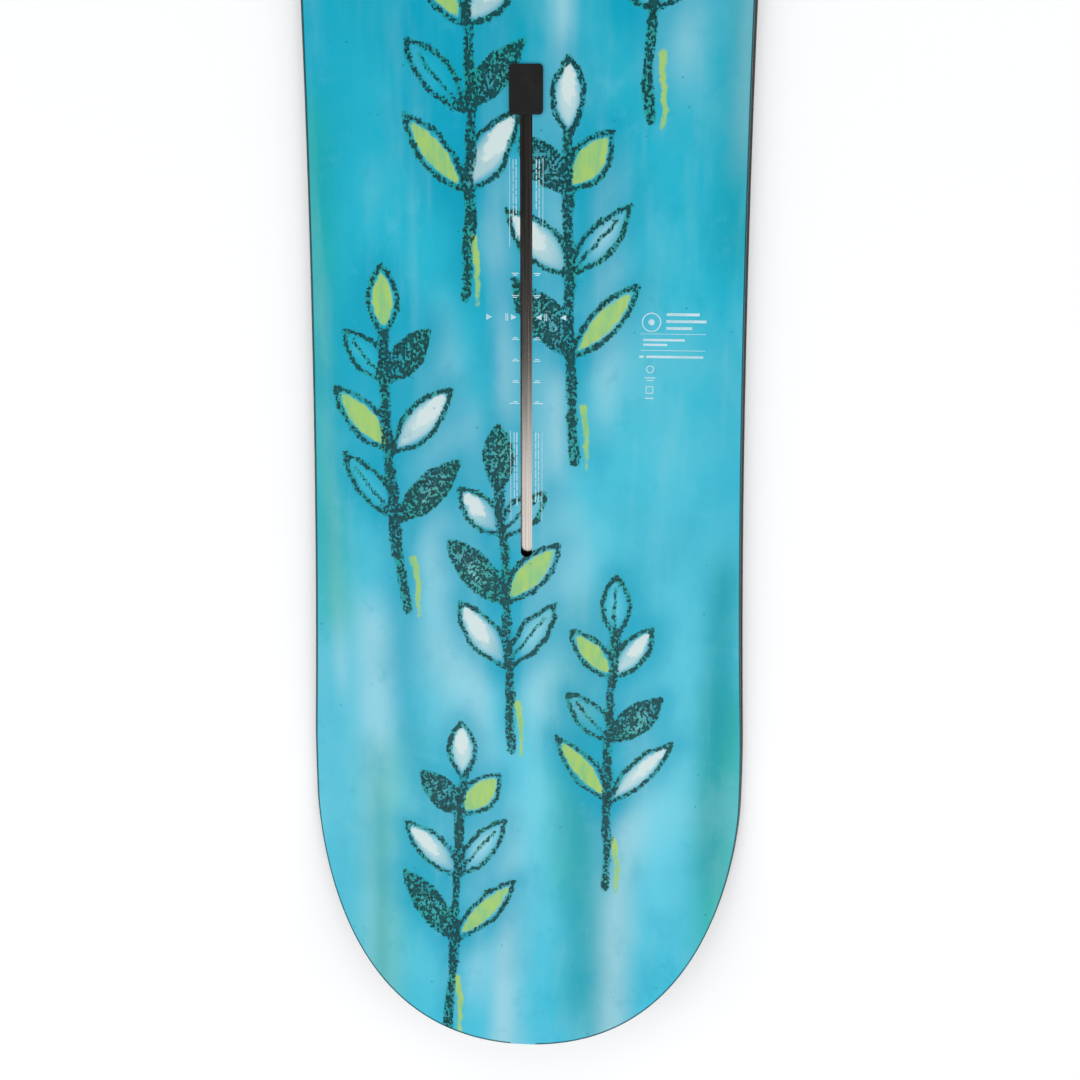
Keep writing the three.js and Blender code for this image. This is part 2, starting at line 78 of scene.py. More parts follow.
def makeCamera():
    # Looks down, tilted towards the tail, then turned about its own up axis and its own line of sight.
    tilt, yaw, roll = (math.radians(view[key]) for key in ("tilt", "yaw", "roll"))
    right = Vector((1, 0, 0))
    up = Vector((0, math.cos(tilt), -math.sin(tilt)))
    ahead = Vector((0, -math.sin(tilt), -math.cos(tilt)))
    right, ahead = (right * math.cos(yaw) + ahead * math.sin(yaw),
                    ahead * math.cos(yaw) - right * math.sin(yaw))
    right, up = (right * math.cos(roll) + up * math.sin(roll),
                 up * math.cos(roll) - right * math.sin(roll))
    data = bpy.data.cameras.new("camera")
    data.lens, data.sensor_width = view["lens"], 36
    data.clip_start = 0.01
    camera = bpy.data.objects.new("camera", data)
    scene.collection.objects.link(camera)
    camera.matrix_world = Matrix.Translation(view["place"]) @ Matrix(
        (right, up, -ahead)).transposed().to_4x4()
    scene.camera = camera


def makeLight(name, place, aim, size, power):
    data = bpy.data.lights.new(name, "AREA")
    data.shape, data.size, data.size_y = "RECTANGLE", size[0], size[1]
    data.energy = power
    light = bpy.data.objects.new(name, data)
    scene.collection.objects.link(light)
    light.location = place
    light.rotation_euler = (Vector(aim) - Vector(place)).to_track_quat("-Z", "Y").to_euler()


def makeStage():
    world = bpy.data.worlds.new("studio")
    scene.world = world
    world.use_nodes = True
    tree = world.node_tree
    backdrop = tree.nodes["Background"]
    backdrop.inputs["Color"].default_value = (0.95, 0.97, 1.0, 1)
    # a dark ceiling straight above, round which the studio is bright
    way = tree.nodes.new("ShaderNodeTexCoord")
    apart = tree.nodes.new("ShaderNodeSeparateXYZ")
    ceiling = tree.nodes.new("ShaderNodeMapRange")
    tree.links.new(way.outputs["Generated"], apart.inputs[0])
    tree.links.new(apart.outputs["Z"], ceiling.inputs["Value"])
    tree.links.new(ceiling.outputs[0], backdrop.inputs["Strength"])
    for socket, value in zip(("From Min", "From Max", "To Min", "To Max"),
                             (*view["ceiling"], view["skyStrength"], view["ceilingStrength"])):
        ceiling.inputs[socket].default_value = value
    floor = bpy.data.meshes.new("floor")
    reach = view["floorReach"]
    corners = ((-reach, -reach), (reach, -reach), (reach, reach), (-reach, reach))
    floor.from_pydata([(x, y, view["floorHeight"]) for x, y in corners], [], [(0, 1, 2, 3)])
    ground = bpy.data.objects.new("floor", floor)
    scene.collection.objects.link(ground)
    paint = bpy.data.materials.new("floorPaint")
    paint.use_nodes = True
    shader = paint.node_tree.nodes["Principled BSDF"]
    shader.inputs["Base Color"].default_value = (*view["floorColour"], 1)
    shader.inputs["Roughness"].default_value = 0.9
    shader.inputs["Specular IOR Level"].default_value = 0.1
    shader.inputs["Emission Color"].default_value = (1, 1, 1, 1)
    shader.inputs["Emission Strength"].default_value = view["floorGlow"]
    floor.materials.append(paint)
    for name, settings in softboxes.items():
        makeLight(name, *settings)
    scene.view_settings.view_transform = "Standard"
    scene.view_settings.look = "None"


makeCamera()
makeStage()
print("camera, floor and lights ready")


# The board's shape, shared by every layer

board = {
    "halfLength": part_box("steel_edge_left")[1].y / mm,
    "waistWidth": 248,
    "sidecutRadius": 8800,
    "noseLength": 196,        # from the widest place to the tip
    "tailLength": 168,
    "blendLength": 58,        # from the end of the sidecut to the widest place
    "tipBluntness": 0.94,
    "tipShoulder": 0.17,
    "tipFlat": 0.015,
    "noseKick": 48,
    "tailKick": 40,
    "kickLead": 25,
    "coreThickness": 5.65,
    "tipCoreThickness": 1,
    "taperLead": 138,
    "taperLength": 200,
    "glue": 0.1,
    "sideGap": 0.1,
    "baseThickness": 1.3,
    "edgeHeight": 1.9,
    "edgeWidth": 2,
    "flangeReach": 7.5,
    "foilThickness": 0.25,
    "foilReach": 8,
    "foilInset": 0.6,
    "lowerGlass": 0.6,
    "upperGlass": 0.8,
    "topsheet": 0.5,
    "bevelStart": 0.1,
    "bevelSlope": 0.27,
    "sidewallReach": 10,
}
noseWidest = board["halfLength"] - board["noseLength"]
tailWidest = board["tailLength"] - board["halfLength"]
waistPlace = (noseWidest + tailWidest) / 2
foilTop = board["edgeHeight"] + board["glue"] + board["foilThickness"]
coreBottom = foilTop + 2 * board["glue"] + board["lowerGlass"]

channel = {
    "stances": {"nose": (237, 1), "tail": (-273, -1)},   # reference place and the way outboard
    "slotWidth": 7,
    "slotOutboard": 148,
    "plugCentre": 125,
    "pocketWidth": 15,
    "pocketLength": 23.8,
    "railWall": 1.5,
    "railFloor": 1,
    "railEndMargin": 3,
    "lipThickness": 1.2,
    "lipShow": 0.1,
}


def bezier(points, share):
    # Places and directions on a cubic curve, from its four control points.
    a, b, c, d = (np.array(point, float)[:, None] for point in points)
    rest = 1 - share
    place = a * rest ** 3 + 3 * b * share * rest ** 2 + 3 * c * share ** 2 * rest + d * share ** 3
    along = (b - a) * rest ** 2 + 2 * (c - b) * share * rest + (d - c) * share ** 2
    return place, along / np.hypot(*along)


def endLine(sign, widest, tipCount, blendCount):
    # One end of the right-hand outline, tip first: a blunt round tip, then a blend into the sidecut.
    radius, blend = board["sidecutRadius"], board["blendLength"]
    sidecutEnd = widest - blend
    offset = sign * sidecutEnd - waistPlace
    run = math.sqrt(radius ** 2 - offset ** 2)
    sidecutHalf = board["waistWidth"] / 2 + radius - run
    slope = abs(offset) / run
    half = sidecutHalf + slope * blend / 2
    top = board["halfLength"]
    evenly = np.linspace(0, 1, tipCount)
    closer = 0.7 * evenly + 0.3 * evenly ** 2
    shares = np.append(0, board["tipFlat"] + (1 - board["tipFlat"]) * closer)
    tip = bezier([(0, top), (board["tipBluntness"] * half, top),
                  (half, widest + board["tipShoulder"] * (top - widest)), (half, widest)], shares)
    turn = bezier([(half, widest), (half, widest - blend / 3),
                   (sidecutHalf + slope * blend / 3, sidecutEnd + blend / 3),
                   (sidecutHalf, sidecutEnd)], np.linspace(0, 1, blendCount + 1)[1:])
    place, along = (np.concatenate(pair, axis=1) for pair in zip(tip, turn))
    x = np.maximum(place[0], board["sideGap"] / 2)
    return np.stack([x, sign * place[1], along[1], -sign * along[0]])


def sidecutLine(y):
    # The sidecut: one long arc, with the direction in from it.
    radius = board["sidecutRadius"]
    run = np.sqrt(radius ** 2 - (y - waistPlace) ** 2)
    slope = (y - waistPlace) / run
    length = np.hypot(slope, 1)
    return np.stack([board["waistWidth"] / 2 + radius - run, y, -1 / length, slope / length])


def outline(places, tipCounts=(70, 90), blendCounts=(18, 28)):
    # The right-hand outline from the nose tip to the tail tip, as rows of x, y and the way in.
    ends = [endLine(sign, abs(widest), tips, blends) for sign, widest, tips, blends in
            zip((1, -1), (noseWidest, tailWidest), tipCounts, blendCounts)]
    inside = np.sort(np.unique(places))[::-1]
    inside = inside[(inside > ends[1][1, -1] + 0.3) & (inside < ends[0][1, -1] - 0.3)]
    return np.concatenate([ends[0], sidecutLine(inside), ends[1][:, ::-1]], axis=1)


def pastWidest(y, lead):
    return np.abs(y) - np.where(y > 0, noseWidest, -tailWidest) + lead


def rise(y):
    # How far the base has risen: flat underfoot, then a curve that steepens to each tip.
    height = np.where(y > 0, board["noseKick"], board["tailKick"])
    run = np.where(y > 0, board["noseLength"], board["tailLength"]) + board["kickLead"]
    share = np.maximum(0, pastWidest(y, board["kickLead"]) / run)
    return height * share ** 2 * (1.25 - 0.25 * share)


def smooth(low, high, value):
    share = np.clip((value - low) / (high - low), 0, 1)
    return share * share * (3 - 2 * share)


def coreThickness(y):
    share = smooth(0, board["taperLength"], pastWidest(y, board["taperLead"]))
    return board["coreThickness"] + share * (board["tipCoreThickness"] - board["coreThickness"])


def below(height):
    return lambda y: height + 0 * y


def aboveCore(height):
    return lambda y: coreBottom + coreThickness(y) + height


def sideInset(height):
    return board["bevelStart"] + board["bevelSlope"] * (height - board["edgeHeight"])


def along(line, level, inset=None, side=1):
    # A line of points at an inset from the outline; with none they lie on the bevelled side.
    x, y, inX, inY = line
    depth = sideInset(level(y)) if inset is None else inset
    place = y + inY * depth
    return np.stack([side * (x + inX * depth), place, rise(place) + level(place)], axis=-1)


# Making meshes

def signedVolume(points, faces):
    # Six times the space inside, from the fan of triangles of each face; negative inside out.
    total = 0
    for face in faces:
        first, *others = (points[face[:, corner]] for corner in range(face.shape[1]))
        total += sum(np.sum(first * np.cross(a, b)) for a, b in zip(others, others[1:]))
    return total


def turnedOut(points, faces):
    # The same faces, all turned outwards.
    return [face[:, ::-1] for face in faces] if signedVolume(points, faces) < 0 else faces


def makePiece(name, points, faces, material, body, stands=()):
    # Points are in millimetres; faces is a list of index arrays of one shell, or of turned shells.
    faces = turnedOut(points, faces)
    used, fresh = np.unique(np.concatenate([face.ravel() for face in faces]), return_inverse=True)
    sizes = [face.size for face in faces]
    parts = np.split(fresh, np.cumsum(sizes)[:-1])
    lists = [row for part, face in zip(parts, faces) for row in part.reshape(face.shape).tolist()]
    mesh = bpy.data.meshes.new(name)
    mesh.from_pydata((points[used] * mm).tolist(), [], lists)
    mesh.materials.append(material)
    mesh.shade_smooth()
    mesh.set_sharp_from_angle(angle=math.radians(35))
    piece = bpy.data.objects.new(name, mesh)
    scene.collection.objects.link(piece)
    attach(piece, body)
    if stands:
        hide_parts(*stands)
    return piece


def ringFaces(rows, size, start=0):
    # Quads round a row of matching rings.
    first = start + np.arange(rows - 1)[:, None] * size
    here = np.arange(size)[None, :]
    after = (here + 1) % size
    return np.stack([first + here, first + after, first + size + after, first + size + here],
                    axis=-1).reshape(-1, 4)


def capFaces(rows, size, ladder):
    # A cap on the first and last ring: a ladder for a section and its mirror image, else one face.
    last = (rows - 1) * size
    if ladder:
        here = np.arange(size // 2 - 1)
        cap = np.stack([here, here + 1, size - 2 - here, size - 1 - here], axis=-1)
    else:
        cap = np.arange(size)[None, :]
    return [cap[:, ::-1], cap + last]


def makePlate(name, line, corners, material, stands=()):
    # A sheet across the board: its corners go up one side, and down the mirror image of that side.
    right = [along(line, level, inset) for level, inset in corners]
    left = [along(line, level, inset, -1) for level, inset in corners][::-1]
    rings = np.stack(right + left, axis=1)
    rows, size = rings.shape[:2]
    faces = [ringFaces(rows, size), *capFaces(rows, size, True)]
    return makePiece(name, rings.reshape(-1, 3), faces, material, "board", stands)


def makeStrip(name, line, corners, side, material, stands=()):
    # A strip along one side of the board: its corners go round its section.
    rings = np.stack([along(line, level, inset, side) for level, inset in corners], axis=1)
    rows, size = rings.shape[:2]
    faces = [ringFaces(rows, size), *capFaces(rows, size, False)]
    return makePiece(name, rings.reshape(-1, 3), faces, material, "board", stands)


def stretch(line, fromY, toY):
    # The part of a line between two places, cut square at both.
    def cut(y):
        return np.array([np.interp(-y, -line[1], row) for row in line])[:, None]
    inside = line[:, (line[1] < fromY) & (line[1] > toY)]
    return np.concatenate([cut(fromY), inside, cut(toY)], axis=1)


# Finishes

def colour(red, green, blue):
    # From everyday colour numbers, 0 to 255, to the light they stand for.
    share = np.array([red, green, blue]) / 255
    return np.where(share > 0.04045, ((share + 0.055) / 1.055) ** 2.4, share / 12.92)


def startFinish(name, roughness=0.5, metallic=0.0, **sockets):
    material = bpy.data.materials.new(name)
    material.use_nodes = True
    tree = material.node_tree
    shader = tree.nodes["Principled BSDF"]
    shader.inputs["Roughness"].default_value = roughness
    shader.inputs["Metallic"].default_value = metallic
    for socket, value in sockets.items():
        shader.inputs[socket.replace("_", " ")].default_value = value
    return material, tree, shader


def add(tree, kind, inputs=None, **settings):
    # A new node: settings are its own choices, inputs are sockets to link or values to hold.
    made = tree.nodes.new("ShaderNode" + kind)
    for key, value in settings.items():
        setattr(made, key, value)
    for key, value in (inputs or {}).items():
        if isinstance(value, bpy.types.NodeSocket):
            tree.links.new(value, made.inputs[key])
        else:
            made.inputs[key].default_value = value
    return made


def placeOn(tree, scale=(1, 1, 1), turn=(0, 0, 0)):
    # Places on the object in metres, stretched for patterns that run one way.
    here = add(tree, "TexCoord").outputs["Object"]
    return add(tree, "Mapping", {"Vector": here, "Scale": scale, "Rotation": turn}).outputs[0]


def grain(tree, scale, stretch=(1, 1, 1), detail=3.0, rough=0.5):
    where = placeOn(tree, stretch)
    return add(tree, "TexNoise", {"Vector": where, "Scale": scale, "Detail": detail,
                                  "Roughness": rough}).outputs["Fac"]


def fade(tree, value, low, high, start=0.0, end=1.0):
    # Rises gently from start to end while the value goes from low to high.
    return add(tree, "MapRange", {"Value": value, "From Min": low, "From Max": high,
                                  "To Min": start, "To Max": end},
               interpolation_type="SMOOTHSTEP").outputs[0]


def sums(tree, operation, first, second, third=0.0):
    return add(tree, "Math", {0: first, 1: second, 2: third}, operation=operation).outputs[0]


def mix(tree, share, first, second):
    full = [value if isinstance(value, bpy.types.NodeSocket) else (*value, 1)
            for value in (first, second)]
    return add(tree, "Mix", {0: share, 6: full[0], 7: full[1]}, data_type="RGBA").outputs[2]


def relief(tree, shader, height, depth, strength=1.0):
    # Depth is in metres, from the lowest to the highest of the pattern.
    bump = add(tree, "Bump", {"Height": height, "Distance": depth, "Strength": strength})
    tree.links.new(bump.outputs[0], shader.inputs["Normal"])


def dress(tree, shader, paint=None, roughness=None):
    if paint is not None:
        tree.links.new(paint, shader.inputs["Base Color"])
    if roughness is not None:
        tree.links.new(roughness, shader.inputs["Roughness"])


def fieldOf(tree, name, output="Fac"):
    return add(tree, "Attribute", attribute_name=name).outputs[output]


topsheetLook = {
    "charcoal": (14, 46, 48),
    "charcoalSoft": (20, 76, 80),
    "charcoalLight": (34, 150, 126),
    "limeInk": (176, 210, 96),
    "limeThin": (140, 200, 124),
    "whiteInk": (218, 232, 230),
    "grainSize": 600,          # grains to the metre, about
    "raggedness": 4.6,         # how far the grain eats into a stroke, in millimetres
}


def topsheetFinish():
    # Painted wash from the sheet's own colours, then lime, white and charcoal printed over it.
    look = topsheetLook
    material, tree, shader = startFinish("printedTopsheet", 0.4, Specular_IOR_Level=0.14)
    wash = fieldOf(tree, "wash", "Color")
    cloud = grain(tree, 16, (1, 0.55, 1), 4, 0.55)
    wash = mix(tree, fade(tree, cloud, 0.45, 0.75, 0, 0.26), wash, colour(150, 214, 226))
    wash = mix(tree, fade(tree, cloud, 0.52, 0.26, 0, 0.34), wash, colour(0, 150, 180))
    streak = grain(tree, 70, (1, 0.10, 1), 4)
    wash = mix(tree, fade(tree, streak, 0.50, 0.80, 0, 0.14), wash, colour(176, 222, 230))
    dabs = grain(tree, 46, (1, 0.8, 1), 6, 0.72)
    wash = mix(tree, fade(tree, dabs, 0.54, 0.72, 0, 0.16), wash, colour(120, 205, 226))
    wash = mix(tree, fade(tree, dabs, 0.46, 0.30, 0, 0.22), wash, colour(0, 158, 186))

    ragged = grain(tree, 230, detail=5, rough=0.65)
    drag = grain(tree, 210, (1, 0.25, 1), detail=4, rough=0.6)
    rough = sums(tree, "SUBTRACT", ragged, 0.5)
    lime = sums(tree, "MULTIPLY_ADD", rough, 4.0, fieldOf(tree, "lime"))
    limePaint = mix(tree, fade(tree, drag, 0.35, 0.7), colour(*look["limeInk"]),
                    colour(*look["limeThin"]))
    wash = mix(tree, fade(tree, lime, -0.4, 0.9, 0, 0.9), wash, limePaint)
    white = sums(tree, "MULTIPLY_ADD", rough, -8.0, fieldOf(tree, "white"))
    wash = mix(tree, fade(tree, white, -0.6, 1.2, 0, 0.85), wash, colour(*look["whiteInk"]))

    ink = fieldOf(tree, "ink")
    bits = grain(tree, look["grainSize"], (1, 0.8, 1), 2.5, 0.6)
    lumps = grain(tree, look["grainSize"] * 0.45, (1, 0.7, 1), 2, 0.5)
    mixed = sums(tree, "MULTIPLY_ADD", sums(tree, "SUBTRACT", lumps, 0.5), 0.5, bits)
    broad = grain(tree, 60, (1, 0.6, 1), 3)
    under = mix(tree, fade(tree, broad, 0.4, 0.62), colour(*look["charcoalLight"]),
                colour(20, 136, 142))
    wash = mix(tree, fade(tree, ink, -0.9, 0.3, 0, 0.66), wash, under)
    depth = sums(tree, "MULTIPLY_ADD", sums(tree, "SUBTRACT", mixed, 0.5), look["raggedness"], ink)
    dark = mix(tree, fade(tree, lumps, 0.35, 0.7), colour(*look["charcoal"]),
               colour(*look["charcoalSoft"]))
    wash = mix(tree, fade(tree, depth, -0.08, 0.22, 0, 0.95), wash, dark)

    rim = fieldOf(tree, "rim")
    wash = mix(tree, fade(tree, rim, 1.0, 0.55, 0, 0.85), wash, colour(16, 52, 58))
    speck = add(tree, "TexVoronoi", {"Vector": placeOn(tree), "Scale": 62.0},
                feature="F1").outputs["Distance"]
    wash = mix(tree, fade(tree, speck, 0.05, 0.03, 0, 0.5), wash, colour(24, 96, 112))
    sheen = fade(tree, grain(tree, 300, (1, 0.2, 1), 4), 0.3, 0.7, 0.34, 0.44)
    dress(tree, shader, wash, sheen)
    relief(tree, shader, grain(tree, 900, (1, 0.6, 1), 2), 0.00002, 0.25)
    return material


def plainFinish(name, dark, light, scale, lean=(1, 1, 1), depth=0.00003, roughness=(0.4, 0.55),
                metallic=0.0, **sockets):
    # One colour shading into another along a grain, with the grain's own relief and gloss.
    material, tree, shader = startFinish(name, 0.5, metallic, **sockets)
    pattern = grain(tree, scale, lean, 4.0, 0.6)
    patches = grain(tree, scale * 0.07, lean, 2)
    both = sums(tree, "MULTIPLY_ADD", patches, 0.5, sums(tree, "MULTIPLY", pattern, 0.5))
    paint = mix(tree, fade(tree, both, 0.35, 0.65), colour(*dark), colour(*light))
    dress(tree, shader, paint, fade(tree, both, 0.35, 0.65, *roughness))
    relief(tree, shader, pattern, depth)
    return material


def baseFinish():
    # Sintered base: fine structure ground lengthways, over a faint fleck of graphite.
    material, tree, shader = startFinish("groundBase", 0.42)
    lines = grain(tree, 2600, (1, 0.006, 1), 3, 0.7)
    fleck = grain(tree, 1500, detail=5, rough=0.75)
    cloud = grain(tree, 18, (1, 0.4, 1), 3)
    paint = mix(tree, fade(tree, fleck, 0.5, 0.72, 0, 0.5), colour(24, 26, 29), colour(62, 66, 71))
    paint = mix(tree, fade(tree, cloud, 0.45, 0.7, 0, 0.35), paint, colour(38, 42, 46))
    paint = mix(tree, fade(tree, lines, 0.52, 0.66, 0, 0.3), paint, colour(70, 74, 78))
    dress(tree, shader, paint, fade(tree, lines, 0.35, 0.65, 0.30, 0.52))
    relief(tree, shader, lines, 0.00003, 0.6)
    return material


def woodFinish(name, pale, dark, rings):
    # Lengthways grain: long wavering rings with fine pores along them.
    material, tree, shader = startFinish(name, 0.62)
    wander = grain(tree, 9, (1, 0.08, 1), 3)
    ring = add(tree, "TexWave", {"Vector": placeOn(tree, (1, 0.03, 0.6)), "Scale": rings,
                                 "Distortion": 5.0, "Detail": 3.0, "Detail Scale": 1.5},
               bands_direction="X").outputs["Fac"]
    pores = grain(tree, 1400, (1, 0.02, 1), 3, 0.7)
    paint = mix(tree, fade(tree, ring, 0.2, 0.9, 0, 0.55), colour(*pale), colour(*dark))
    paint = mix(tree, fade(tree, wander, 0.4, 0.7, 0, 0.4), paint, colour(*dark))
    paint = mix(tree, fade(tree, pores, 0.56, 0.68, 0, 0.5), paint, colour(*dark))
    dress(tree, shader, paint, fade(tree, pores, 0.4, 0.6, 0.55, 0.7))
    relief(tree, shader, pores, 0.00005, 0.5)
    return material


def glassPaintedShadeFinish():
    # Resin-soaked fibreglass: two sets of slanting fibre bundles showing through, in a resin tint
    # painted darker still as shade along the board's side.
    material, tree, shader = startFinish("fibreglass", 0.38, Specular_IOR_Level=0.3)
    bundles = [add(tree, "TexWave", {"Vector": placeOn(tree, turn=(0, 0, angle)), "Scale": 210.0,
                                     "Distortion": 0.6}, bands_direction="X").outputs["Fac"]
               for angle in (0.785, -0.785)]
    weave = sums(tree, "MAXIMUM", *bundles)
    # both weave colours carry painted shade: darker than the glass's own colour, as if in shadow at
    # the board's side
    paint = mix(tree, fade(tree, weave, 0.5, 1), colour(40, 42, 34), colour(84, 88, 70))
    dress(tree, shader, paint, fade(tree, grain(tree, 400), 0.3, 0.7, 0.3, 0.45))
    relief(tree, shader, weave, 0.00006, 0.5)
    return material


finishes = {
    "topsheet": topsheetFinish(),
    "print": plainFinish("printWhite", (168, 214, 224), (206, 232, 238), 900,
                         roughness=(0.35, 0.45), depth=0.00001),
    "base": baseFinish(),
    "edge": plainFinish("edgeSteel", (36, 38, 41), (74, 76, 80), 900, (1, 0.02, 1),
                        0.00002, (0.26, 0.40), 1.0),
    "sidewall": plainFinish("sidewallPlastic", (3, 4, 5), (10, 11, 13), 700, (1, 0.05, 1),
                            0.00004, (0.5, 0.62), Specular_IOR_Level=0.1),
    "spacer": plainFinish("tipSpacer", (6, 7, 8), (18, 19, 21), 500, (1, 1, 1),
                          0.00004, (0.48, 0.6), Specular_IOR_Level=0.22),
    "foil": plainFinish("rubberFoil", (12, 12, 12), (26, 26, 26), 1200, roughness=(0.7, 0.85)),
    "glass": glassPaintedShadeFinish(),
    "poplar": woodFinish("poplarGrain", (228, 205, 160), (196, 164, 112), 34),
    "beech": woodFinish("beechGrain", (190, 142, 94), (150, 102, 62), 52),
    "rail": plainFinish("railSteel", (142, 136, 130), (178, 172, 166), 1100, (1, 0.012, 1),
                        0.000006, (0.15, 0.21), 1.0),
    "block": plainFinish("nylonBlock", (20, 20, 22), (38, 38, 41), 900, roughness=(0.5, 0.62)),
    "nut": plainFinish("zincNut", (150, 152, 154), (204, 206, 208), 700, (1, 1, 1),
                       0.00003, (0.25, 0.42), 1.0),
    "plug": plainFinish("plugRubber", (4, 4, 5), (14, 14, 16), 1500, (1, 1, 1),
                        0.00005, (0.5, 0.62), Specular_IOR_Level=0.3),
}
print("finishes ready")


# Sheets with the channels cut through them

def cutHalf(y):
    # Half the width of the cut at each place: the pocket, then the slot to its round end.
    half = 0 * y
    for stance, outboard in channel["stances"].values():
        reach = (y - stance) * outboard
        slot = channel["slotWidth"] / 2
        left = np.clip(channel["slotOutboard"] - reach, 0, slot)
        roundEnd = np.sqrt(slot ** 2 - (slot - left) ** 2)
        pocket = np.abs(reach + channel["plugCentre"]) < channel["pocketLength"] / 2
        inSlot = reach > -channel["plugCentre"]
        half = np.maximum(half, np.where(pocket, channel["pocketWidth"] / 2, inSlot * roundEnd))
    return half


def cutPlaces():
    # Rows that the cut needs: both sides of each square corner, and round the slot's end.
    slot = channel["slotWidth"] / 2
    ends = [sign * channel["pocketLength"] / 2 - channel["plugCentre"] for sign in (-1, 1)]
    corners = [end + step for end in ends for step in (-0.02, 0.02)]
    turn = np.sin(np.linspace(0, math.pi / 2, 9))
    places = np.concatenate([corners, channel["slotOutboard"] - slot * (1 - turn)])
    return np.concatenate([stance + outboard * places
                           for stance, outboard in channel["stances"].values()])


def makeCutSheet(name, line, columns, bottom, top, material, stands):
    # Half a sheet is rows from the cut out to the edge, round to the underside and back; where
    # there is no cut, both halves share their points on the middle line.
    levels = [aboveCore(top), aboveCore(bottom)]
    rims = [along(line, level) for level in levels]
    half = cutHalf(line[1])
    share = np.linspace(0, 1, columns + 1)
    upper = np.empty((line.shape[1], columns + 1, 3))
    upper[:] = rims[0][:, None]
    upper[..., 0] = half[:, None] + (rims[0][:, :1] - half[:, None]) * share
    inner = rims[1].copy()
    inner[:, 0] = half
    ring = np.concatenate([upper, rims[1][:, None], inner[:, None]], axis=1)
    rows, size = ring.shape[:2]
    points = np.concatenate([(ring * (side, 1, 1)).reshape(-1, 3) for side in (1, -1)])
    count = rows * size
    index = np.arange(2 * count)
    middle = np.flatnonzero(half == 0) * size
    for column in (0, size - 1):
        index[count + middle + column] = middle + column
    faces = ringFaces(rows, size).reshape(rows - 1, size, 4)
    keep = np.ones((rows - 1, size), bool)
    keep[:, -1] = (half[:-1] > 0) | (half[1:] > 0)
    right = faces[keep]
    left = index[right + count][:, ::-1]
    caps = [np.arange(size)[None, ::-1], np.arange(size)[None, :] + count - size]
    leftCaps = [index[cap + count][:, ::-1] for cap in caps]
    return makePiece(name, points, [right, left, *caps, *leftCaps], material, "board",
                     stands)


rowPlaces = np.concatenate([np.arange(-540, -100, 1.9), np.arange(-100, 510, 3.1), cutPlaces()])
fineLine = outline(rowPlaces)
plateLine = fineLine[:, 1:-1]
coarseLine = outline(np.concatenate([np.arange(-540, 510, 30), cutPlaces()]), (60, 60), (8, 8))
coarsePlate = coarseLine[:, 1:-1]
glassTop = board["glue"] + board["upperGlass"]
sheetBottom = glassTop + board["glue"]
topsheet = makeCutSheet(
    "topsheetSkin", plateLine, 72, sheetBottom, sheetBottom + board["topsheet"],
    finishes["topsheet"], ["topsheet"])
makeCutSheet("upperGlassSkin", coarsePlate, 4, board["glue"], glassTop, finishes["glass"],
             ["upper_fibreglass"])
print("topsheet", len(topsheet.data.polygons), "faces")


# The printed artwork: plain leafy sprigs, drawn in charcoal over washes

sprigs = {
    "seed": 7,
    "count": 15,
    "first": -752,             # where the sprig nearest the tail stands, in millimetres
    "pitch": 98,               # from one to the next along the board
    "spread": 84,              # furthest from the middle line
    "turn": 0.618,             # how far across each stands past the last, as a share of the spread
    "height": (150, 190),
    "sway": 10,
    "pairs": 3,
    "leafLength": 50,
    "leafBelly": 8.5,
    "leafLean": 40,            # degrees from the stem
    "outlineWidth": 1.3,       # half widths
    "stemWidth": 2.4,
    "shake": 0.8,
    "steadyBelow": 110,        # a shorter stroke than this shakes less
    "pressDepth": 1.3,
}
hand = np.random.default_rng(sprigs["seed"])


def bow(start, end, bulge=0.0, count=28):
    # A cubic from one place to another, bulging to the left of the way there.
    start, end = np.array(start, float), np.array(end, float)
    left = np.array([start[1] - end[1], end[0] - start[0]]) / np.hypot(*(end - start))
    middle = [start + (end - start) * share + left * bulge * 4 / 3 for share in (0.33, 0.67)]
    return bezier([start, *middle, end], np.linspace(0, 1, count))[0].T


def leafLoop(foot, tip, belly):
    # Out along one bulging side and back along the other.
    return np.concatenate([bow(foot, tip, belly)[:-1], bow(tip, foot, belly)[:-1]])


def shaky(line, amount):
    # A hand's shake: four slow waves across the line, different each time.
    share = np.linspace(0, 1, len(line))[:, None]
    turns = np.arange(1, 5)
    waves = (hand.normal(0, amount, 4) / turns ** 0.7
             * np.sin(math.tau * turns * share * 1.3 + hand.uniform(0, math.tau, 4))).sum(1)
    run = np.gradient(line, axis=0)
    across = np.stack([-run[:, 1], run[:, 0]], 1) / np.hypot(*run.T)[:, None]
    return line + across * waves[:, None]


def near(places, low, high, margin):
    return np.flatnonzero(((places > low - margin) & (places < high + margin)).all(1))


def gaps(places, line):
    # From each place to each straight piece of a line: the distance, and how far along the piece.
    run = np.diff(line, axis=0)
    gap = places[:, None] - line[:-1]
    share = np.clip((gap * run).sum(2) / np.maximum((run ** 2).sum(1), 1e-9), 0, 1)
    return np.linalg.norm(gap - share[..., None] * run, axis=2), share


